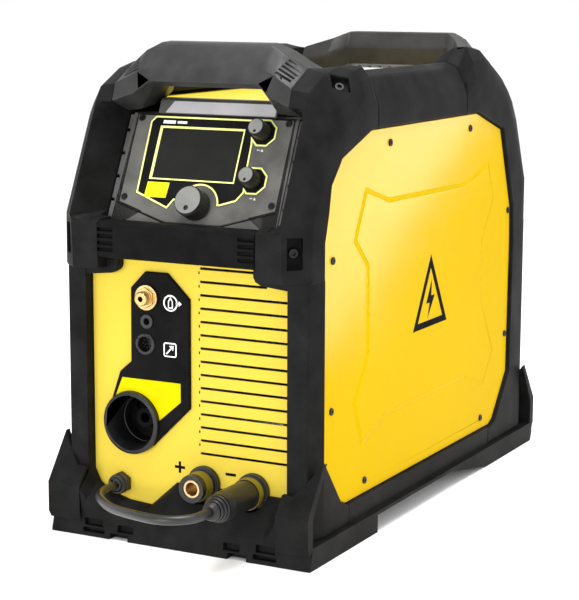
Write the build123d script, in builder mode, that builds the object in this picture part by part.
from build123d import *
import math
import os

# Multi-process inverter welding power source with a built-in wire feeder.
# Millimetres, +Z up, the front looks along -Y, origin under the centre of the machine on the floor.

# ---- overall sizes
HALF_WIDTH = 146.0          # base, half of its width
FRAME_X = 140.0             # outer face of the posts and rails
POST_X = 112.0              # inner face of the lower posts
UPPER_X = 98.0              # inner face of the upper posts and end of the top handles
RECESS_X = 134.0            # seat of the side panels in the frame
TRAY_TOP = 22.0             # top of the base tray, where the posts stand

# ---- sheet metal
SHEET = 2.0
FRONT_Y = -263.0            # outer face of the front panel
REAR_Y = 264.0              # outer face of the rear panel
ROOF_Z = 428.0

# ---- side panel outline, (y, z), from the low front corner upwards
PANEL_OUTLINE = [(-213, 49), (-251, 98), (-251, 304), (-236, 357), (-217, 380), (-151, 403),
                 (122, 403), (193, 381), (227, 291), (229, 250), (226, 97), (185, 47), (175, 43),
                 (-199, 43)]
EMBOSS_OUTLINE = [(-161, 96), (-110, 115), (94, 115), (153, 96), (180, 130), (143, 190), (141, 262),
                  (174, 305), (157, 343), (94, 327), (-105, 330), (-158, 345), (-181, 299), (-152, 272),
                  (-150, 182), (-181, 139)]
PANEL_SCREWS = [(-104, 388), (103, 388), (221, 286), (219, 142), (149, 56), (-156, 56), (-231, 141),
                (-230, 286)]

# ---- leaning console
LEAN = math.degrees(math.atan(0.4632))
CONSOLE = Plane(origin=(0, -233.0, 373.0), x_dir=(1, 0, 0), z_dir=(0, -math.cos(math.radians(LEAN)),
                math.sin(math.radians(LEAN))))
BEZEL_HALF = 87.5
BEZEL_TOP = 46.5            # distances up the console plane from its origin
BEZEL_CORNER = -46.0
BEZEL_FOOT = -63.5
SCREEN = (-11.0, 7.0, 94.0, 54.5)     # centre x, centre up, width, height
MAIN_KNOB = (2.0, -45.5)
UPPER_KNOB = (57.0, 32.0)
LOWER_KNOB = (57.5, -16.5)

# ---- front connections, (x, z)
GUN = (-65.0, 115.0)
GAS = (-45.5, 242.0)
USB = (-46.5, 218.0)
REMOTE = (-48.5, 195.5)
PLUS = (16.0, 63.0)
MINUS = (70.5, 62.5)
GLAND = (-79.5, 51.6)

# ---- louvres of the front panel
LOUVRE_COUNT = 15
LOUVRE_PITCH = 13.0
LOUVRE_LOW = 92.0
LOUVRE_X = (11.0, 106.0)
LOUVRE_GAP = 2.4

# ---- screw wells of the frame are cut this far outwards from their planes
WELL_MOUTH = 8.0

# ---- polarity lead between the gland and the negative plug
CABLE_D = 9.0
CABLE_ROUTE = [(-79.5, -279.2, 51.6), (-79, -300, 51.7), (-70, -320, 52), (-53.3, -337.9, 52.8),
               (-32.2, -356.3, 54.5), (-3.6, -372.8, 57.8), (22.2, -383.7, 60.3), (39.7, -388.1, 61.5),
               (53.4, -385.2, 62), (64.4, -376.6, 62.3), (70.5, -364, 62.5), (70.5, -350, 62.5)]

# ---- spool door on the left side
HINGE_AXIS = (-137.0, 226.0)          # x, y of the vertical hinge line
HINGE_SPANS = [(116.0, 150.0), (206.0, 240.0)]
LATCHES = {"upper_latch": (-226.0, 285.0), "lower_latch": (-226.0, 141.0)}

os.makedirs("parts", exist_ok=True)


def save(part, name):
    """Label a finished piece and write it under its own name."""
    part.label = name
    export_step(part, f"parts/{name}.step")


def polygon(plane, outline):
    """A closed polygon drawn on a plane."""
    with BuildSketch(plane) as drawn:
        with BuildLine():
            Polyline(*outline, close=True)
        make_face()
    return drawn.sketch


def slab(x_from, x_to, outline, mode=Mode.ADD):
    """The (y, z) outline as a solid between two x values."""
    extrude(polygon(Plane.YZ.offset(x_from), outline), amount=x_to - x_from, mode=mode)


def skin(sections):
    """A faceted solid through the (x, outline) sections."""
    loft([polygon(Plane.YZ.offset(x), outline).face() for x, outline in sections], ruled=True)


def block(low, high, mode=Mode.ADD):
    """A box between two opposite corners."""
    centre = [(a + b) / 2 for a, b in zip(low, high)]
    with Locations(tuple(centre)):
        Box(*[abs(b - a) for a, b in zip(low, high)], mode=mode)


def rod(start, direction, radius, length, bore=0.0, mode=Mode.ADD):
    """A round bar, or a tube where bore is given, from its start point."""
    with BuildSketch(Plane(origin=start, z_dir=direction)) as drawn:
        Circle(radius)
        if bore:
            Circle(bore, mode=Mode.SUBTRACT)
    extrude(drawn.sketch, amount=length, mode=mode)


def front_plate(outline, y_face, thickness, mode=Mode.ADD):
    """A plate of (x, z) outline whose rear face is at y_face, standing forwards."""
    extrude(polygon(Plane.XZ.offset(-y_face), outline), amount=thickness, mode=mode)


def well(plane, width, height, depth):
    """Cut a rectangular well into the part, down from a plane and out through the skin above it."""
    with BuildSketch(plane) as drawn:
        Rectangle(width, height)
    extrude(drawn.sketch, amount=-depth, mode=Mode.SUBTRACT)
    extrude(drawn.sketch, amount=WELL_MOUTH, mode=Mode.SUBTRACT)


def grown(plane, outline, distance):
    """The outline offset by a distance, outwards when it is positive."""
    with BuildSketch(plane) as drawn:
        with BuildLine():
            Polyline(*outline, close=True)
        make_face()
        offset(amount=distance, kind=Kind.INTERSECTION)
    return drawn.sketch


def left_of(part):
    """The same piece for the other side of the machine."""
    return mirror(part, about=Plane.YZ)


FRONT, REAR, UP, DOWN, RIGHT, LEFT = (0, -1, 0), (0, 1, 0), (0, 0, 1), (0, 0, -1), (1, 0, 0), (-1, 0, 0)

# ================================================================ frame posts and rails
PANEL_GAP = 1.0
FRONT_INNER = [(-239, 270), (-239, 101), (-206, 59), (-197, 55), (-197, TRAY_TOP)]
FRONT_LEDGE = [(-140, 391), (-148, 391), (-208, 371), (-225, 352), (-239, 303), (-239, 270)]


def panel_recess():
    """Cut the seat of the side panel into a post or rail on the right side."""
    extrude(grown(Plane.YZ.offset(RECESS_X), PANEL_OUTLINE, PANEL_GAP), amount=20, mode=Mode.SUBTRACT)


def panel_screw_holes():
    """Holes for the screws of the right side panel."""
    for y, z in PANEL_SCREWS:
        rod((RECESS_X - 12, y, z), RIGHT, 2.0, 12.1, mode=Mode.SUBTRACT)


BRACKET_PLANE = Plane(origin=(123.5, -282.5, 298), x_dir=(0.785, 0.62, 0), z_dir=(0.62, -0.785, 0))
# tab under each end of the front middle handle, (x, z)
TAB_OUTLINE = [(75, 280.5), (75, 271), (77.5, 267), (83, 264), (POST_X, 261), (POST_X, 280.5)]
TAB_THICK = 11.0
CORNER_PLANE = Plane(origin=(126, -196, 449.5), x_dir=(0.785, 0.62, 0), z_dir=(0.55, -0.697, 0.70))
REAR_BRACKET_PLANE = Plane(origin=(127, 280, 298), x_dir=(0.785, -0.62, 0), z_dir=(0.62, 0.785, 0))
REAR_CORNER_PLANE = Plane(origin=(127, 190, 452), x_dir=(0.785, -0.62, 0), z_dir=(0.55, 0.697, 0.70))

with BuildPart() as front_post:
    skin([(POST_X, [(-275, TRAY_TOP), (-275, 270)] + FRONT_INNER),
          (133, [(-274, TRAY_TOP), (-274, 270)] + FRONT_INNER),
          (FRAME_X, [(-253, TRAY_TOP), (-253, 270)] + FRONT_INNER)])
    skin([(UPPER_X, [(-292, 270), (-292, 316), (-256, 323), (-212, 419), (-247, 429), (-241, 446),
                     (-207, 464), (-180, 463), (-157, 459), (-140, 457)] + FRONT_LEDGE),
          (115, [(-292, 270), (-294, 318), (-297, 322), (-252, 420), (-249, 428), (-239, 443),
                 (-206, 459), (-178, 465), (-157, 466), (-140, 460)] + FRONT_LEDGE),
          (128, [(-282, 270), (-283, 318), (-283, 322), (-239, 416), (-233, 425), (-222, 438),
                 (-195, 451), (-170, 461), (-152, 464), (-140, 454)] + FRONT_LEDGE),
          (136, [(-272, 270), (-272, 318), (-270, 323), (-226, 411), (-222, 417), (-211, 430),
                 (-190, 443), (-168, 451), (-151, 453), (-140, 437)] + FRONT_LEDGE),
          (FRAME_X, [(-250, 270), (-250, 318), (-249, 324), (-212, 397), (-208, 402), (-200, 411),
                     (-187, 423), (-168, 434), (-151, 436), (-140, 425)] + FRONT_LEDGE)])
    slab(86.6, UPPER_X, [(-292, 270), (-292, 316), (-284, 319), (-266, 319), (-266, 270)])
    block((UPPER_X - 1, -265, 260), (POST_X, -230, 288), mode=Mode.SUBTRACT)
    front_plate(TAB_OUTLINE, FRONT_Y, TAB_THICK)
    panel_recess()
    well(BRACKET_PLANE, 15, 30, 9)
    well(CORNER_PLANE, 19, 17, 8)

with BuildPart() as front_post_right:
    add(front_post.part)
    panel_screw_holes()
save(front_post_right.part, "front_post_right")

with BuildPart() as front_post_left:
    add(left_of(front_post.part))
save(front_post_left.part, "front_post_left")

RAIL_FRONT, RAIL_REAR = -140.0, 85.0
RAIL_SECTION = [(100, 432), (103, 457), (115, 460), (128, 454), (136, 437), (FRAME_X, 425), (FRAME_X, 391),
                (POST_X, 391), (POST_X, 432)]
with BuildPart() as top_rail:
    with BuildSketch(Plane.XZ.offset(-RAIL_REAR)):
        with BuildLine():
            Polyline(*RAIL_SECTION, close=True)
        make_face()
    extrude(amount=RAIL_REAR - RAIL_FRONT)
    panel_recess()

with BuildPart() as top_rail_right:
    add(top_rail.part)
    panel_screw_holes()
save(top_rail_right.part, "top_rail_right")

with BuildPart() as top_rail_left:
    add(left_of(top_rail.part))
save(top_rail_left.part, "top_rail_left")

REAR_INNER = [(217, 270), (214, 100), (178, 59), (165, 55), (165, TRAY_TOP)]
REAR_LEDGE = [(217, 270), (215, 289), (185, 371), (118, 391), (85, 391)]
with BuildPart() as rear_post:
    skin([(POST_X, [(285, TRAY_TOP), (285, 270)] + REAR_INNER),
          (133, [(283, TRAY_TOP), (283, 270)] + REAR_INNER),
          (FRAME_X, [(262, TRAY_TOP), (262, 270)] + REAR_INNER)])
    skin([(UPPER_X, [(85, 457), (104, 466), (150, 470), (180, 468), (216, 461), (246, 449), (262, 425),
                     (291, 322), (292, 318), (292, 270)] + REAR_LEDGE),
          (115, [(85, 460), (105, 475), (150, 474), (180, 465), (218, 450), (244, 432), (258, 410),
                 (292, 322), (293, 318), (293, 270)] + REAR_LEDGE),
          (128, [(85, 454), (108, 476), (146, 471), (175, 457), (214, 437), (236, 421), (252, 397),
                 (284, 322), (286, 318), (286, 270)] + REAR_LEDGE),
          (136, [(85, 437), (108, 460), (144, 458), (170, 446), (208, 426), (228, 410), (243, 388),
                 (272, 322), (274, 318), (274, 270)] + REAR_LEDGE),
          (FRAME_X, [(85, 425), (110, 438), (142, 437), (164, 430), (200, 411), (216, 396), (228, 378),
                     (255, 322), (256, 318), (256, 270)] + REAR_LEDGE)])
    slab(86.6, UPPER_X, [(292, 270), (292, 316), (284, 319), (267, 319), (267, 270)])
    block((UPPER_X - 1, 240, 260), (POST_X, 266, 288), mode=Mode.SUBTRACT)
    panel_recess()
    well(REAR_BRACKET_PLANE, 15, 30, 9)
    well(REAR_CORNER_PLANE, 19, 17, 8)

with BuildPart() as rear_post_right:
    add(rear_post.part)
    panel_screw_holes()
save(rear_post_right.part, "rear_post_right")

with BuildPart() as rear_post_left:
    add(left_of(rear_post.part))
    for low, high in HINGE_SPANS:
        rod((*HINGE_AXIS, low - 10), UP, 5.6, high - low + 20, mode=Mode.SUBTRACT)
        for z in (low - 8, high):
            near = (HINGE_AXIS[0] - 1, HINGE_AXIS[1] + 3, z)
            far = (HINGE_AXIS[0] + 1.5, HINGE_AXIS[1] + 16, z + 8)
            block(near, far, mode=Mode.SUBTRACT)
save(rear_post_left.part, "rear_post_left")

# ================================================================ base tray
FOOT_PROFILE = [(-292, 0), (-143, 0), (-143, 18), (43, 18), (150, 0), (288, 0), (293, 9), (293, TRAY_TOP),
                (-287, TRAY_TOP), (-288, 17)]
GUARD_OUTER = [(-293, 15), (-297, 22), (-297, 52), (-264, 98), (-257, 98), (-286, 50), (-286, 20)]
GUARD_INNER = [(-293, 15), (-295, 22), (-295, 50), (-281, 68), (-276, 68), (-286, 48), (-286, 20)]
REAR_GUARD_OUTER = [(-y, z) for y, z in GUARD_OUTER]
REAR_GUARD_INNER = [(-y, z) for y, z in GUARD_INNER]
SILL = [(-196.5, TRAY_TOP), (-196.5, 55), (164.5, 55), (164.5, TRAY_TOP)]
APRON = [(-264, TRAY_TOP), (-264, 33), (-275, 31), (-287, TRAY_TOP)]
# x with the height at the panel, then the ridge and the lip as (y, z)
LEFT_SCOOP = [(-111.9, (66, (-277, 67), (-295, 50))), (-104, (50, (-274, 50.5), (-292, 37))),
              (-92, (41.5, (-272, 41), (-290, 29))), (-70, (35.5, (-270, 35), (-289, 25))),
              (-44, (33.5, (-269, 32.5), (-288, 22.5)))]
MOUND = [(-44, (34, (-270, 32), (-288, 22.5))), (-15, (60, (-274, 52), (-288, 23))),
         (94, (60, (-274, 52), (-288, 23))), (104, (60, (-275, 56), (-291, 34))),
         (111.9, (66, (-277, 67), (-295, 50)))]


def scoop_section(panel_height, ridge, lip):
    """A (y, z) section of the tray's front between the panel and the lip."""
    return [(-264, TRAY_TOP), (-264, panel_height), ridge, lip, (-289.4, 11)]


with BuildPart() as base_tray:
    slab(-HALF_WIDTH, HALF_WIDTH, FOOT_PROFILE)
    block((-POST_X, -258, 5), (POST_X, -155, TRAY_TOP), mode=Mode.SUBTRACT)
    block((-POST_X, 165, 5), (POST_X, 255, TRAY_TOP), mode=Mode.SUBTRACT)
    slab(-POST_X, POST_X, APRON)
    # scoop between the left bumper and the mound, and the mound under the two terminals
    skin([(x, scoop_section(*heights)) for x, heights in LEFT_SCOOP])
    skin([(x, scoop_section(*heights)) for x, heights in MOUND])
    for side in (1, -1):
        for inner, outer in ((GUARD_INNER, GUARD_OUTER), (REAR_GUARD_INNER, REAR_GUARD_OUTER)):
            skin([(side * 110, inner), (side * 122, inner), (side * HALF_WIDTH, outer)])
        slab(side * POST_X, side * FRAME_X, SILL)
        for x_low, x_high, z_low, z_high in ((86.5, 107.5, 10.5, 18), (84, 109, 4, 8.5), (51, 69, 8, 15)):
            block((side * x_low, -300, z_low), (side * x_high, -284, z_high), mode=Mode.SUBTRACT)
        block((side * 56.5, -300, -1), (side * 77, -282, 6), mode=Mode.SUBTRACT)
    for x, z in (PLUS, MINUS):
        rod((x, -300, z), REAR, 18, 40, mode=Mode.SUBTRACT)
    for post in (front_post_right, front_post_left, rear_post_right, rear_post_left):
        add(post.part, mode=Mode.SUBTRACT)
    # recess for the panels that stand in the sills
    for face_x, depth in ((RECESS_X, 8), (-RECESS_X, -8)):
        extrude(grown(Plane.YZ.offset(face_x), PANEL_OUTLINE, PANEL_GAP), amount=depth, mode=Mode.SUBTRACT)
    panel_screw_holes()
save(base_tray.part, "base_tray")


# ================================================================ handles
HANDLE_BAR = [(-238, 449), (-232, 463), (-213, 486), (-196, 487), (-180, 475), (-181, 457), (-196, 446),
              (-228, 444)]
HANDLE_BEND = [(-243, 437), (-235, 457), (-216, 478), (-192, 480), (-170, 468), (-168, 434), (-192, 424),
               (-226, 421)]
HANDLE_END = [(-247, 429), (-241, 446), (-207, 464), (-180, 463), (-157, 458), (-156, 436), (-190, 420),
              (-216, 418)]
GRIP_RIBS = 5

with BuildPart() as front_top_handle:
    skin([(-UPPER_X, HANDLE_END), (-76, HANDLE_BEND), (-60, HANDLE_BAR), (60, HANDLE_BAR),
          (76, HANDLE_BEND), (UPPER_X, HANDLE_END)])
    for side in (1, -1):
        leg = Plane(origin=(side * 88, -225.5, 463.5), x_dir=(side * 22, 0, -12.5),
                    z_dir=(side * 0.35, -0.55, 0.62))
        with BuildSketch(leg) as grooves:
            with GridLocations(0, 5.0, 1, GRIP_RIBS):
                Rectangle(18, 2.4)
        extrude(grooves.sketch, amount=-4.5, mode=Mode.SUBTRACT)
        extrude(grooves.sketch, amount=6, mode=Mode.SUBTRACT)
save(front_top_handle.part, "front_top_handle")

REAR_BAR = [(205, 450), (203, 470), (211, 487), (232, 487), (247, 478), (253, 462), (246, 448), (222, 444)]
REAR_BEND = [(184, 432), (182, 460), (196, 479), (226, 480), (248, 469), (257, 452), (254, 438), (216, 430)]
REAR_END = [(152, 431), (150, 455), (160, 469.5), (200, 464), (246, 449), (258, 438), (250, 432), (205, 429)]
with BuildPart() as rear_top_handle:
    skin([(-UPPER_X, REAR_END), (-78, REAR_BEND), (-62, REAR_BAR), (62, REAR_BAR), (78, REAR_BEND),
          (UPPER_X, REAR_END)])
    # finger ribs under the grip
    for index in range(9):
        x = (index - 4) * 13.0
        block((x - 1.5, 212, 440), (x + 1.5, 240, 447.5), mode=Mode.SUBTRACT)
save(rear_top_handle.part, "rear_top_handle")

MID_HALF = 86.4
MID_BOTTOM, MID_TOP, MID_DEPTH = 281.0, 317.5, 22.0


def mid_handle(front_y, facing):
    """The grip bar between two brackets; facing is -1 at the front and 1 at the rear."""
    centre_y = front_y - facing * MID_DEPTH / 2
    with BuildSketch(Plane.YZ.offset(-MID_HALF)) as section:
        with Locations((centre_y, (MID_BOTTOM + MID_TOP) / 2)):
            RectangleRounded(MID_DEPTH, MID_TOP - MID_BOTTOM, 6.5)
    extrude(section.sketch, amount=2 * MID_HALF)
    for side in (1, -1):
        for index in range(4):
            z = 289.5 + 6.6 * index
            block((side * 69, front_y + facing * 1, z - 1.6), (side * 87, front_y - facing * 3, z + 1.6),
                  mode=Mode.SUBTRACT)


with BuildPart() as front_mid_handle:
    mid_handle(-293.0, -1)
save(front_mid_handle.part, "front_mid_handle")

with BuildPart() as rear_mid_handle:
    mid_handle(293.0, 1)
save(rear_mid_handle.part, "rear_mid_handle")


def button_screw(plane, head_radius, head_height, shank_radius, shank_length):
    """A hexagon socket screw: head above the plane, shank below it."""
    with BuildSketch(plane) as head:
        Circle(head_radius)
    extrude(head.sketch, amount=head_height)
    with BuildSketch(plane.offset(head_height)) as drive:
        RegularPolygon(head_radius * 0.5, 6)
    extrude(drive.sketch, amount=-head_height * 0.6, mode=Mode.SUBTRACT)
    if shank_length:
        with BuildSketch(plane) as shank:
            Circle(shank_radius)
        extrude(shank.sketch, amount=-shank_length)


# screws in the wells of the brackets and of the top corners
POCKET_PLANES = [(BRACKET_PLANE, 9), (CORNER_PLANE, 8), (REAR_BRACKET_PLANE, 9), (REAR_CORNER_PLANE, 8)]
with BuildPart() as frame_screws_right:
    for plane, depth in POCKET_PLANES:
        button_screw(plane.offset(-depth), 4.5, 4.0, 2.0, 0)
with BuildPart() as case_screws:
    add(frame_screws_right.part)
    add(left_of(frame_screws_right.part))
    for y, z in PANEL_SCREWS:
        button_screw(Plane(origin=(RECESS_X + SHEET, y, z), x_dir=REAR, z_dir=RIGHT), 3.6, 1.8, 2.0, 13.5)
save(case_screws.part, "case_screws")

# ================================================================ front panel
PANEL_TOP = 285.0


def fixed_holes(centre, radius, depth_from, depth_to):
    """A round hole through the front, between two y values."""
    rod((centre[0], depth_from, centre[1]), REAR, radius, depth_to - depth_from, mode=Mode.SUBTRACT)


with BuildPart() as front_panel:
    block((-111.5, FRONT_Y, TRAY_TOP), (111.5, FRONT_Y + SHEET, PANEL_TOP))
    for side in (1, -1):
        block((side * 109.5, FRONT_Y + SHEET, TRAY_TOP), (side * 111.5, FRONT_Y + 12, 262))
    for index in range(LOUVRE_COUNT):
        z = LOUVRE_LOW + LOUVRE_PITCH * index
        x_high = LOUVRE_X[1] if index < LOUVRE_COUNT - 2 else 84.0
        near = (LOUVRE_X[0], FRONT_Y - 1, z - LOUVRE_GAP / 2)
        far = (x_high, FRONT_Y + SHEET + 0.5, z + LOUVRE_GAP / 2)
        block(near, far, mode=Mode.SUBTRACT)
    for centre, radius in ((GUN, 28.0), (GAS, 6.0), (USB, 5.0), (REMOTE, 9.0), (PLUS, 11.0), (MINUS, 11.0),
                           (GLAND, 7.0)):
        fixed_holes(centre, radius, FRONT_Y - 1, FRONT_Y + 14)
save(front_panel.part, "front_panel")

PLATE_OUTLINE = [(-49, 267), (-24, 267), (1, 243), (1, 135.5), (-42, 93), (-64, 86), (-86, 96),
                 (-92, 128), (-79, 165.5), (-66, 176.5), (-65.5, 250)]
LABEL_OUTLINE = [(-76.5, 160), (-9, 160), (-9, 140.5), (-35, 119), (-65, 112), (-85, 139)]
PLATE_THICK = 4.0
PLATE_Y = FRONT_Y - PLATE_THICK     # outer face of the connector plate


with BuildPart() as connector_plate:
    front_plate(PLATE_OUTLINE, FRONT_Y, PLATE_THICK)
    chamfer(connector_plate.faces().sort_by(Axis.Y)[0].edges(), 1.2)
    front_plate(LABEL_OUTLINE, FRONT_Y - PLATE_THICK + 1.0, 2.0, mode=Mode.SUBTRACT)
    for centre, radius in ((GUN, 31.5), (GAS, 6.0), (USB, 5.0), (REMOTE, 9.0)):
        fixed_holes(centre, radius, FRONT_Y - 20, FRONT_Y + 14)
save(connector_plate.part, "connector_plate")

GUN_BORE = 23.5
GUN_MOUTH = 24.2
GUN_STEP_Y = -244.0
with BuildPart() as gun_socket_housing:
    with BuildSketch(Plane.XY) as profile:
        with BuildLine():
            Polyline((28.0, -272), (31.4, -270.5), (31.4, FRONT_Y), (28.0, FRONT_Y), (28.0, -196),
                     (GUN_BORE, -196), (GUN_BORE, GUN_STEP_Y), (GUN_MOUTH, GUN_STEP_Y), (GUN_MOUTH, -262),
                     (27.5, -272), close=True)
        make_face()
    revolve(profile.sketch, axis=Axis.Y)
gun_housing = Pos(GUN[0], 0, GUN[1]) * gun_socket_housing.part
save(gun_housing, "gun_socket_housing")

with BuildPart() as gun_socket_core:
    rod((GUN[0], -232, GUN[1]), REAR, GUN_BORE, 10, bore=10.2)
    rod((GUN[0], -243.5, GUN[1]), REAR, 10.2, 47.5, bore=5.0)
    for x in (-14.5, 14.5):
        rod((GUN[0] + x, -238, GUN[1] + 8), REAR, 2.2, 6)
save(gun_socket_core.part, "gun_socket_core")

# ================================================================ small sockets on the plate
with BuildPart() as gas_outlet:
    rod((GAS[0], PLATE_Y - 4, GAS[1]), REAR, 12.5, 4)
    with BuildSketch(Plane(origin=(GAS[0], PLATE_Y - 4, GAS[1]), z_dir=FRONT)) as nut:
        RegularPolygon(10.5, 6)
    extrude(nut.sketch, amount=3)
    rod((GAS[0], PLATE_Y - 7, GAS[1]), FRONT, 7.0, 7)
    rod((GAS[0], PLATE_Y, GAS[1]), REAR, 5.8, 20)
    rod((GAS[0], PLATE_Y - 20, GAS[1]), REAR, 2.6, 40, mode=Mode.SUBTRACT)
    chamfer(gas_outlet.faces().sort_by(Axis.Y)[0].edges().sort_by(SortBy.LENGTH)[-1], 1.0)
save(gas_outlet.part, "gas_outlet")

with BuildPart() as usb_socket:
    rod((USB[0], PLATE_Y - 1.5, USB[1]), REAR, 7.0, 1.5)
    rod((USB[0], PLATE_Y, USB[1]), REAR, 4.9, 14)
    rod((USB[0], PLATE_Y - 1.5, USB[1]), REAR, 3.4, 9, mode=Mode.SUBTRACT)
save(usb_socket.part, "usb_socket")

PINS = 8
PIN_CIRCLE = 4.6
with BuildPart() as remote_socket:
    rod((REMOTE[0], PLATE_Y - 2, REMOTE[1]), REAR, 11.0, 2)
    chamfer(remote_socket.faces().sort_by(Axis.Y)[0].edges(), 1.0)
    rod((REMOTE[0], PLATE_Y, REMOTE[1]), REAR, 8.9, 16)
    rod((REMOTE[0], PLATE_Y - 2, REMOTE[1]), REAR, 7.6, 12, mode=Mode.SUBTRACT)
    for index in range(PINS):
        angle = 2 * math.pi * index / PINS
        x = REMOTE[0] + PIN_CIRCLE * math.cos(angle)
        z = REMOTE[1] + PIN_CIRCLE * math.sin(angle)
        rod((x, PLATE_Y + 10, z), FRONT, 0.7, 7.5)
save(remote_socket.part, "remote_socket")

# ================================================================ terminals, polarity lead and its gland
TERMINAL_BORE = 6.5


def terminal(centre, neck_end, neck_radius):
    """Insulated panel socket: a flange on the panel and a neck to neck_end."""
    rod((centre[0], FRONT_Y, centre[1]), FRONT, 17.5, 5)
    rod((centre[0], FRONT_Y - 5, centre[1]), FRONT, 14.5, 4)
    rod((centre[0], FRONT_Y - 9, centre[1]), FRONT, neck_radius, -neck_end + FRONT_Y - 9)
    rod((centre[0], FRONT_Y, centre[1]), REAR, 10.8, 16)
    rod((centre[0], FRONT_Y - 40, centre[1]), REAR, 9.0, 60, mode=Mode.SUBTRACT)


def contact(centre, mouth_y):
    """Brass sleeve with the bore for a plug and a stud for the lug behind."""
    rod((centre[0], mouth_y, centre[1]), REAR, 9.0, FRONT_Y + 16 - mouth_y)
    rod((centre[0], FRONT_Y + 16, centre[1]), REAR, 5.0, 14)
    rod((centre[0], mouth_y, centre[1]), REAR, TERMINAL_BORE, 26, mode=Mode.SUBTRACT)


with BuildPart() as output_terminals:
    terminal(PLUS, -290.5, 13.8)
    terminal(MINUS, -288.0, 11.0)
save(output_terminals.part, "output_terminals")

with BuildPart() as terminal_contacts:
    contact(PLUS, -289.5)
    contact(MINUS, -288.0)
save(terminal_contacts.part, "terminal_contacts")

with BuildPart() as polarity_plug:
    rod((MINUS[0], -273, MINUS[1]), FRONT, 15.0, 6)
    rod((MINUS[0], -279, MINUS[1]), FRONT, 14.2, 45)
    rod((MINUS[0], -262, MINUS[1]), FRONT, 11.2, 26.5, mode=Mode.SUBTRACT)
    rod((MINUS[0], -289, MINUS[1]), REAR, 6.3, 20)
save(polarity_plug.part, "polarity_plug")

BOOT_RIBS = 4
with BuildPart() as plug_boot:
    with BuildSketch(Plane.XY) as profile:
        with BuildLine():
            Polyline((0, -324), (14.2, -324), (13.4, -334), (8.0, -348), (6.5, -350), (0, -350), close=True)
        make_face()
        for index in range(BOOT_RIBS):
            with Locations((13.6 - index * 1.4, -332.5 - 3.8 * index)):
                Rectangle(2.4, 1.5, mode=Mode.SUBTRACT)
    revolve(profile.sketch, axis=Axis.Y)
boot = Pos(MINUS[0], 0, MINUS[1]) * plug_boot.part
save(boot, "plug_boot")

with BuildPart() as cable_gland:
    with BuildSketch(Plane(origin=(GLAND[0], FRONT_Y, GLAND[1]), z_dir=FRONT)) as nut:
        RegularPolygon(11.5, 6)
    extrude(nut.sketch, amount=7)
    rod((GLAND[0], FRONT_Y - 7, GLAND[1]), FRONT, 9.6, 5)
    rod((GLAND[0], FRONT_Y - 12, GLAND[1]), FRONT, 7.4, 4)
    rod((GLAND[0], FRONT_Y, GLAND[1]), REAR, 6.8, 14)
    rod((GLAND[0], FRONT_Y - 30, GLAND[1]), REAR, CABLE_D / 2 + 0.1, 14, mode=Mode.SUBTRACT)
    chamfer(cable_gland.edges().filter_by(GeomType.CIRCLE).sort_by(Axis.Y)[0], 1.2)
save(cable_gland.part, "cable_gland")

points = [Vector(*p) for p in CABLE_ROUTE]
runs = [b - a for a, b in zip(points, points[1:])]
bend_radii = []
for before, after in zip(runs, runs[1:]):
    half_turn = math.radians(before.get_angle(after)) / 2
    bend_radii.append(0.45 * min(before.length, after.length) / math.tan(half_turn))
print("polarity lead bend radii", [round(radius, 1) for radius in bend_radii])
with BuildPart() as polarity_cable:
    with BuildLine() as route:
        FilletPolyline(*points, radius=bend_radii)
    with BuildSketch(Plane(origin=points[0], z_dir=runs[0])):
        Circle(CABLE_D / 2)
    sweep()
lead_length = sum(edge.length for edge in route.edges())
print("polarity lead length", round(lead_length, 1), "volume over section times length",
      round(polarity_cable.part.volume / (math.pi * CABLE_D ** 2 / 4 * lead_length), 4))
save(polarity_cable.part, "polarity_cable")

# ================================================================ leaning console
BEZEL_OUTLINE = [(-BEZEL_HALF, BEZEL_TOP), (BEZEL_HALF, BEZEL_TOP), (BEZEL_HALF, BEZEL_CORNER),
                 (31, BEZEL_FOOT), (-31, BEZEL_FOOT), (-BEZEL_HALF, BEZEL_CORNER)]
OVERLAY_OUTLINE = [(-66, 45), (-71, 39), (-69.5, -35.5), (-31, -50), (-25, -41), (26, -44), (43, -38.5),
                   (50, -29), (48, -1), (47.5, 20), (43.5, 45)]
BEZEL_THICK = 3.0
BEZEL_SCREWS = [(-81.8, 42.2), (81.8, 42.2), (-81.8, -40.1), (81.8, -40.1)]
SHAFT_R = 3.0
RUNNING = 0.05
KNOBS = {"main_knob": (MAIN_KNOB, 15.0, 20.0, 28), "upper_knob": (UPPER_KNOB, 8.8, 18.5, 16),
         "lower_knob": (LOWER_KNOB, 8.8, 18.5, 16)}


def console_rod(centre, radius, low, high, mode=Mode.ADD):
    """A round bar square to the console, between two heights over its face."""
    with BuildSketch(CONSOLE.offset(low)) as drawn:
        with Locations(centre):
            Circle(radius)
    extrude(drawn.sketch, amount=high - low, mode=mode)


def console_box(centre, width, height, low, high, mode=Mode.ADD):
    """A rectangular block square to the console, between two heights over its face."""
    with BuildSketch(CONSOLE.offset(low)) as drawn:
        with Locations(centre):
            Rectangle(width, height)
    extrude(drawn.sketch, amount=high - low, mode=mode)


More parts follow.
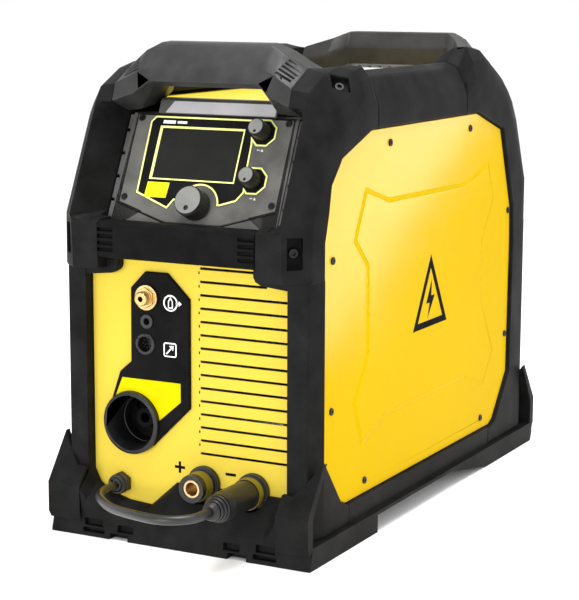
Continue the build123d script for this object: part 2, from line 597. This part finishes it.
with BuildPart() as control_housing:
    slab(-92, 92, [(-264.96, 304), (-213.08, 416), (-190.5, 416), (-190.5, 304)])
    slab(-66, 66, [(-211.5, 416), (-206, 429), (-203, 431), (-190.5, 431), (-190.5, 416)])
    for side in (1, -1):
        slab(side * 92, side * 97.3, [(-263, 304), (-212, 414), (-190.5, 414), (-190.5, 304)])
        for index in range(4):
            z = 333 + 22.0 * index
            y = -233 + (z - 373) * 0.4632 + 2.0
            block((side * 93, y - 4, z - 1.5), (side * 99, y + 4, z + 1.5), mode=Mode.SUBTRACT)
    extrude(grown(CONSOLE, BEZEL_OUTLINE, 0.6), amount=-BEZEL_THICK, mode=Mode.SUBTRACT)
    slab(-86, 86, [(-253, 309), (-207, 410), (-189, 410), (-189, 309)], mode=Mode.SUBTRACT)
    for centre, *rest in KNOBS.values():
        console_rod(centre, 6.0, -30, 1, mode=Mode.SUBTRACT)
    for centre in BEZEL_SCREWS:
        console_rod(centre, 1.5, -9, 1, mode=Mode.SUBTRACT)
save(control_housing.part, "control_housing")

with BuildPart() as control_bezel:
    extrude(polygon(CONSOLE, BEZEL_OUTLINE), amount=-BEZEL_THICK)
    chamfer(control_bezel.faces().sort_by(Axis(origin=(0, 0, 0), direction=CONSOLE.z_dir))[-1].edges(), 0.8)
    console_box(SCREEN[:2], SCREEN[2], SCREEN[3], -4, 1, mode=Mode.SUBTRACT)
    for centre, *rest in KNOBS.values():
        console_rod(centre, SHAFT_R + RUNNING, -4, 1, mode=Mode.SUBTRACT)
    for centre in BEZEL_SCREWS:
        console_rod(centre, 1.5, -4, 1, mode=Mode.SUBTRACT)
save(control_bezel.part, "control_bezel")

with BuildPart() as control_overlay:
    with BuildSketch(CONSOLE) as film:
        with BuildLine():
            Polyline(*OVERLAY_OUTLINE, close=True)
        make_face()
        with Locations(UPPER_KNOB, LOWER_KNOB):
            RegularPolygon(15.0, 8, rotation=22.5)
        with Locations(MAIN_KNOB):
            Circle(21.0, mode=Mode.SUBTRACT)
        with Locations(UPPER_KNOB, LOWER_KNOB):
            Circle(SHAFT_R + RUNNING + 0.5, mode=Mode.SUBTRACT)
        with Locations(SCREEN[:2]):
            Rectangle(SCREEN[2], SCREEN[3], mode=Mode.SUBTRACT)
    extrude(film.sketch, amount=0.5)
save(control_overlay.part, "control_overlay")

with BuildPart() as display_lens:
    console_box(SCREEN[:2], SCREEN[2] - 0.2, SCREEN[3] - 0.2, -2.9, 0.3)
save(display_lens.part, "display_lens")

with BuildPart() as bezel_screws:
    for centre in BEZEL_SCREWS:
        place = CONSOLE.shift_origin(CONSOLE.from_local_coords((centre[0], centre[1], 0)))
        button_screw(place, 3.4, 1.0, 1.5, 8.5)
save(bezel_screws.part, "bezel_screws")


def knob(centre, radius, height, flutes):
    """A fluted knob with a stepped cap and a finger mark near the cap's low edge."""
    with BuildSketch(CONSOLE.offset(2.0)) as grip:
        with Locations(centre):
            Circle(radius)
            with PolarLocations(radius + 0.35, flutes):
                Circle(0.8, mode=Mode.SUBTRACT)
    extrude(grip.sketch, amount=height - 4.0)
    console_rod(centre, radius - 0.9, height - 2.0, height)
    mark = (centre[0], centre[1] - radius * 0.52)
    console_rod(mark, radius * 0.16, height - 1.2, height + 1, mode=Mode.SUBTRACT)


with BuildPart() as main_knob:
    knob(*KNOBS["main_knob"])
    console_rod(MAIN_KNOB, SHAFT_R + RUNNING, 1.0, 14.0, mode=Mode.SUBTRACT)
save(main_knob.part, "main_knob")

with BuildPart() as main_knob_spindle:
    console_rod(MAIN_KNOB, SHAFT_R, -11.0, 13.9)
    console_rod(MAIN_KNOB, 5.0, -12.5, -8.0)
save(main_knob_spindle.part, "main_knob_spindle")

for name in ("upper_knob", "lower_knob"):
    with BuildPart() as small_knob:
        knob(*KNOBS[name])
        console_rod(KNOBS[name][0], SHAFT_R, -10.0, 2.0)
    save(small_knob.part, name)

# ================================================================ roof and sides
with BuildPart() as top_cover:
    block((-97.5, -189.5, ROOF_Z - SHEET), (97.5, 214, ROOF_Z))
    block((-111.5, -139.5, ROOF_Z - SHEET), (111.5, 84.5, ROOF_Z))
    for side in (1, -1):
        block((side * 66, -190, 420), (side * 99, -170, 430), mode=Mode.SUBTRACT)
save(top_cover.part, "top_cover")

EMBOSS_RISE = 1.2


def side_sheet():
    """The pressed side sheet of the right side."""
    extrude(polygon(Plane.YZ.offset(RECESS_X), PANEL_OUTLINE), amount=SHEET)
    extrude(polygon(Plane.YZ.offset(RECESS_X + SHEET), EMBOSS_OUTLINE), amount=EMBOSS_RISE, taper=50)
    extrude(polygon(Plane.YZ.offset(RECESS_X), EMBOSS_OUTLINE), amount=EMBOSS_RISE, taper=50,
            mode=Mode.SUBTRACT)


with BuildPart() as side_panel_right:
    side_sheet()
    for y, z in PANEL_SCREWS:
        rod((RECESS_X - 1, y, z), RIGHT, 2.0, 4, mode=Mode.SUBTRACT)
save(side_panel_right.part, "side_panel_right")

HINGE_X, HINGE_Y = HINGE_AXIS
KNUCKLE_R, PIN_R = 4.5, 2.0
with BuildPart() as door_sheet:
    side_sheet()
with BuildPart() as spool_door:
    add(left_of(door_sheet.part))
    block((-138, HINGE_Y - KNUCKLE_R - 0.5, 30), (-130, 240, 420), mode=Mode.SUBTRACT)
    for low, high in HINGE_SPANS:
        block((HINGE_X - 1.6, HINGE_Y - 14, low), (-RECESS_X - SHEET, HINGE_Y - 3, high))
        rod((HINGE_X, HINGE_Y, low), UP, KNUCKLE_R, high - low)
        rod((HINGE_X, HINGE_Y, low - 1), UP, PIN_R + RUNNING, high - low + 2, mode=Mode.SUBTRACT)
    for y, z in LATCHES.values():
        rod((-140, y, z), RIGHT, 4.0 + RUNNING, 10, mode=Mode.SUBTRACT)
save(spool_door.part, "spool_door")

with BuildPart() as door_hinges:
    for low, high in HINGE_SPANS:
        for z_low, z_high in ((low - 7.9, low - 0.4), (high + 0.4, high + 7.9)):
            rod((HINGE_X, HINGE_Y, z_low), UP, KNUCKLE_R, z_high - z_low)
            block((HINGE_X - 1, HINGE_Y + 1, z_low), (HINGE_X + 1.5, HINGE_Y + 15.9, z_high))
        rod((HINGE_X, HINGE_Y, low - 7.9), UP, PIN_R, high - low + 15.8)
save(door_hinges.part, "door_hinges")

for name, (y, z) in LATCHES.items():
    with BuildPart() as latch:
        rod((-136.3, y, z), LEFT, 9.0, 2.5)
        block((-143.5, y - 2.2, z - 8.0), (-138.8, y + 2.2, z + 8.0))
        rod((-138.8, y, z), RIGHT, 4.0, 8.0)
        block((-133.6, y - 4.0, z - 4.0), (-131.0, y + 4.0, z + 12.0))
    save(latch.part, name)

# ================================================================ rear
FAN = (38.0, 185.0)
MAINS = (-72.0, 62.0)
GAS_IN = (-72.0, 112.0)
SWITCH = (-66.0, 215.0)
with BuildPart() as rear_panel:
    block((-111.5, REAR_Y - SHEET, TRAY_TOP), (111.5, REAR_Y, 268))
    slab(-97.5, 97.5, [(REAR_Y - SHEET, 268), (REAR_Y, 268), (REAR_Y, 300), (217, 424), (215, 424),
                       (REAR_Y - SHEET, 299.5)])
    rod((FAN[0], 270, FAN[1]), FRONT, 54, 20, mode=Mode.SUBTRACT)
    for (x, z), radius in ((MAINS, 9.0), (GAS_IN, 5.0), (SWITCH, 4.0 + RUNNING)):
        rod((x, 270, z), FRONT, radius, 20, mode=Mode.SUBTRACT)
save(rear_panel.part, "rear_panel")

with BuildPart() as fan_guard:
    with BuildSketch(Plane(origin=(FAN[0], REAR_Y, FAN[1]), x_dir=RIGHT, z_dir=REAR)) as wires:
        Circle(58)
        Circle(54, mode=Mode.SUBTRACT)
        for radius in (47, 36, 25, 14):
            Circle(radius)
            Circle(radius - 2.2, mode=Mode.SUBTRACT)
        with PolarLocations(0, 2, start_angle=45, angular_range=180):
            Rectangle(114, 2.4)
    extrude(wires.sketch, amount=3)
save(fan_guard.part, "fan_guard")

FAN_FRONT, FAN_BACK = 224.0, 261.9
with BuildPart() as fan_frame:
    block((FAN[0] - 60, FAN_FRONT, FAN[1] - 60), (FAN[0] + 60, FAN_BACK, FAN[1] + 60))
    rod((FAN[0], FAN_FRONT - 1, FAN[1]), REAR, 57, 40, mode=Mode.SUBTRACT)
    with BuildSketch(Plane(origin=(FAN[0], FAN_BACK, FAN[1]), x_dir=RIGHT, z_dir=FRONT)) as struts:
        Circle(20)
        with PolarLocations(0, 2, start_angle=45, angular_range=180):
            Rectangle(118, 5)
    extrude(struts.sketch, amount=4)
    rod((FAN[0], FAN_BACK - 4, FAN[1]), FRONT, 2.5, 24)
save(fan_frame.part, "fan_frame")

BLADES = 7
with BuildPart() as fan_rotor:
    rod((FAN[0], FAN_BACK - 5, FAN[1]), FRONT, 20, 26)
    for index in range(BLADES):
        angle = 2 * math.pi * index / BLADES
        radial = (math.cos(angle), 0, math.sin(angle))
        tangent = (-math.sin(angle), 0, math.cos(angle))
        face = tuple(0.66 * t + n for t, n in zip(tangent, (0, -0.75, 0)))
        middle = (FAN[0] + 36 * radial[0], FAN_BACK - 18, FAN[1] + 36 * radial[2])
        with BuildSketch(Plane(origin=middle, x_dir=radial, z_dir=face)) as blade:
            Rectangle(37, 25)
        extrude(blade.sketch, amount=0.9, both=True)
    rod((FAN[0], FAN_BACK - 4, FAN[1]), FRONT, 2.5 + RUNNING, 25, mode=Mode.SUBTRACT)
save(fan_rotor.part, "fan_rotor")

with BuildPart() as mains_gland:
    with BuildSketch(Plane(origin=(MAINS[0], REAR_Y, MAINS[1]), z_dir=REAR)) as nut:
        RegularPolygon(15, 6)
    extrude(nut.sketch, amount=7)
    rod((MAINS[0], REAR_Y + 7, MAINS[1]), REAR, 12, 11)
    rod((MAINS[0], REAR_Y, MAINS[1]), FRONT, 8.9, 16)
    chamfer(mains_gland.edges().filter_by(GeomType.CIRCLE).sort_by(Axis.Y)[-1], 2.0)
    rod((MAINS[0], REAR_Y - 20, MAINS[1]), REAR, 6.5, 60, mode=Mode.SUBTRACT)
save(mains_gland.part, "mains_gland")

BARB_R = 4.0
with BuildPart() as gas_inlet:
    with BuildSketch(Plane(origin=(GAS_IN[0], REAR_Y, GAS_IN[1]), z_dir=REAR)) as nut:
        RegularPolygon(9, 6)
    extrude(nut.sketch, amount=6)
    rod((GAS_IN[0], REAR_Y + 6, GAS_IN[1]), REAR, BARB_R, 18)
    rod((GAS_IN[0], REAR_Y, GAS_IN[1]), FRONT, 4.9, 18)
    rod((GAS_IN[0], REAR_Y - 30, GAS_IN[1]), REAR, 2.2, 80, mode=Mode.SUBTRACT)
save(gas_inlet.part, "gas_inlet")

with BuildPart() as mains_switch:
    rod((SWITCH[0], REAR_Y + 0.5, SWITCH[1]), REAR, 17, 4)
    block((SWITCH[0] - 4.5, REAR_Y + 4, SWITCH[1] - 16), (SWITCH[0] + 4.5, REAR_Y + 16, SWITCH[1] + 16))
    rod((SWITCH[0], REAR_Y + 1, SWITCH[1]), FRONT, 4.0, 14)
save(mains_switch.part, "mains_switch")

# ================================================================ chassis and power electronics
with BuildPart() as chassis_floor:
    block((-109, -260.9, TRAY_TOP), (109, 261.9, TRAY_TOP + SHEET))
save(chassis_floor.part, "chassis_floor")

BULKHEAD_X = -21.0
with BuildPart() as centre_bulkhead:
    slab(BULKHEAD_X, BULKHEAD_X + SHEET, [(-259, TRAY_TOP + SHEET), (-259, 284), (-186, 284), (-186, 424),
                                         (206, 424), (221, 380), (221, TRAY_TOP + SHEET)])
save(centre_bulkhead.part, "centre_bulkhead")

SINK_Z = 236.0
with BuildPart() as heat_sink:
    block((BULKHEAD_X + SHEET, -90, SINK_Z - 8), (95, 150, SINK_Z))
    for index in range(13):
        x = -12 + index * 8.5
        block((x, -90, 170), (x + 2.2, 150, SINK_Z - 8))
save(heat_sink.part, "heat_sink")

with BuildPart() as power_board:
    block((BULKHEAD_X + SHEET, -90, SINK_Z), (95, 150, SINK_Z + 2))
with BuildPart() as board_parts:
    for y in (-60, -22, 16, 54):
        rod((70, y, SINK_Z + 2), UP, 15, 46)
    for y in (-50, 0, 50, 100):
        block((5, y - 14, SINK_Z + 2), (40, y + 14, SINK_Z + 26))
save(Compound(children=[power_board.part, *board_parts.part.solids()]), "power_board")

with BuildPart() as transformer:
    block((15, -70, TRAY_TOP + SHEET), (85, -50, 104))
    block((15, 0, TRAY_TOP + SHEET), (85, 20, 104))
    block((15, -70, TRAY_TOP + SHEET), (85, 20, 44))
    block((15, -70, 84), (85, 20, 104))
    block((38, -70, 54), (62, 20, 74))
with BuildPart() as winding:
    block((22, -46, 46), (78, -4, 82))
    block((38, -70, 54), (62, 20, 74), mode=Mode.SUBTRACT)
save(Compound(children=[transformer.part.solid(), winding.part.solid()]), "transformer")

# ================================================================ wire spool
SPOOL = (60.0, 215.0)               # y, z of the spool axis
SPINDLE_R = 9.0
HUB_R = 25.0
with BuildPart() as spool_spindle:
    rod((BULKHEAD_X, *SPOOL), LEFT, 30, 4)
    rod((BULKHEAD_X - 4, *SPOOL), LEFT, SPINDLE_R, 101)
    with BuildSketch(Plane(origin=(-126.0, *SPOOL), z_dir=LEFT)) as nut:
        Circle(19)
        with PolarLocations(20, 8):
            Circle(3, mode=Mode.SUBTRACT)
    extrude(nut.sketch, amount=5)
save(spool_spindle.part, "spool_spindle")

with BuildPart() as spool_hub:
    rod((-26.0, *SPOOL), LEFT, HUB_R, 99)
    rod((-25.5, *SPOOL), LEFT, 34, 3)
    rod((-20, *SPOOL), LEFT, SPINDLE_R + RUNNING, 110, mode=Mode.SUBTRACT)
save(spool_hub.part, "spool_hub")

with BuildPart() as wire_spool:
    for x in (-29.0, -120.0):
        rod((x, *SPOOL), LEFT, 148, 4, bore=HUB_R + 0.2)
    rod((-29.0, *SPOOL), LEFT, 32, 95, bore=HUB_R + 0.2)
with BuildPart() as wound_wire:
    rod((-33.0, *SPOOL), LEFT, 138, 87, bore=32)
save(Compound(children=[wire_spool.part.solid(), wound_wire.part.solid()]), "wire_spool")

# ================================================================ wire feeder
WIRE_X, WIRE_Z = GUN
FEED_Y = -146.0
DRIVE_R, PRESS_R = 16.0, 11.0
ROLL_WIDTH = 14.0
WIRE_R = 0.5
ROLL_FACE = WIRE_X + ROLL_WIDTH / 2
DRIVE_AXIS = (FEED_Y, WIRE_Z - WIRE_R - DRIVE_R)
PRESS_AXIS = (FEED_Y, WIRE_Z + WIRE_R + PRESS_R)
ARM_PIVOT = (-184.0, 136.0)
ARM_X = (WIRE_X + 11.0, WIRE_X + 21.0)
TENSION = (sum(ARM_X) / 2, -122.0)
FEED_FACE = -36.0
with BuildPart() as feed_unit:
    block((FEED_FACE, -194, 68), (BULKHEAD_X, -98, 160))
    rod((FEED_FACE, *ARM_PIVOT), LEFT, 4.0, FEED_FACE - ARM_X[0] + 2)
    rod((FEED_FACE - 0.5, *DRIVE_AXIS), RIGHT, 5.0 + RUNNING, 10, mode=Mode.SUBTRACT)
    rod((BULKHEAD_X + SHEET, *DRIVE_AXIS), RIGHT, 27, 26)
    rod((BULKHEAD_X + SHEET + 26, *DRIVE_AXIS), RIGHT, 22, 44)
save(feed_unit.part, "feed_unit")

with BuildPart() as drive_roll:
    rod((ROLL_FACE, *DRIVE_AXIS), LEFT, DRIVE_R, ROLL_WIDTH)
    rod((ROLL_FACE, *DRIVE_AXIS), RIGHT, 5.0, FEED_FACE + 8 - ROLL_FACE)
save(drive_roll.part, "drive_roll")

with BuildPart() as pressure_arm:
    block((ARM_X[0], -188.5, 128), (ARM_X[1], -112, 146))
    rod((ARM_X[1] + 1, *ARM_PIVOT), LEFT, 4.0 + RUNNING, 12, mode=Mode.SUBTRACT)
    block((ARM_X[0], -157, 120), (ARM_X[1], -135, 129))
    rod((ARM_X[0], *PRESS_AXIS), LEFT, 4.0, 19)
    rod((*TENSION, 147), DOWN, 2.5 + RUNNING, 12, mode=Mode.SUBTRACT)
save(pressure_arm.part, "pressure_arm")

with BuildPart() as pressure_roll:
    rod((ROLL_FACE, *PRESS_AXIS), LEFT, PRESS_R, ROLL_WIDTH, bore=4.0 + RUNNING)
save(pressure_roll.part, "pressure_roll")

with BuildPart() as tension_knob:
    with BuildSketch(Plane(origin=(*TENSION, 147), z_dir=UP)) as grip:
        Circle(8)
        with PolarLocations(8.4, 10):
            Circle(1.2, mode=Mode.SUBTRACT)
    extrude(grip.sketch, amount=20)
    rod((*TENSION, 147), DOWN, 2.5, 11)
save(tension_knob.part, "tension_knob")
